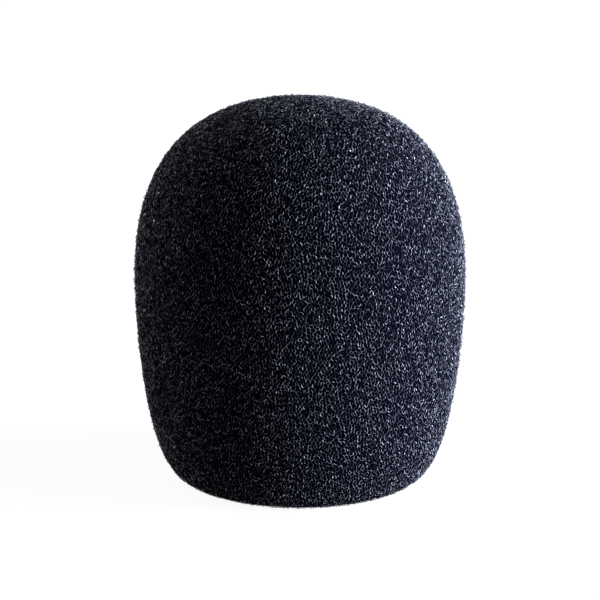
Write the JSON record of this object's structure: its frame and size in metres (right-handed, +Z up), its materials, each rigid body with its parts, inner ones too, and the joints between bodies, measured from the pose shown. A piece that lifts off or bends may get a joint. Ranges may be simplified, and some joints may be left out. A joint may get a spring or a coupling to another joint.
{
  "type": "microphone windscreen",
  "caption": "Rounded open-cell foam cap with a flat base and a necked hollow, pulled over the ball grille of a handheld microphone to stop wind and breath noise.",
  "frame": {"origin": "centre of the flat base, in the plane of the mouth", "axes": "+Z up along the axis of symmetry, from the mouth to the crown; the part looks the same from every side"},
  "size_m": [0.066, 0.066, 0.0765],
  "materials": {
    "black_foam": "matt open-cell polyurethane foam with fine glinting cell struts"
  },
  "bodies": {
    "root": {"foam_windscreen": "black_foam"}
  },
  "joints": []
}
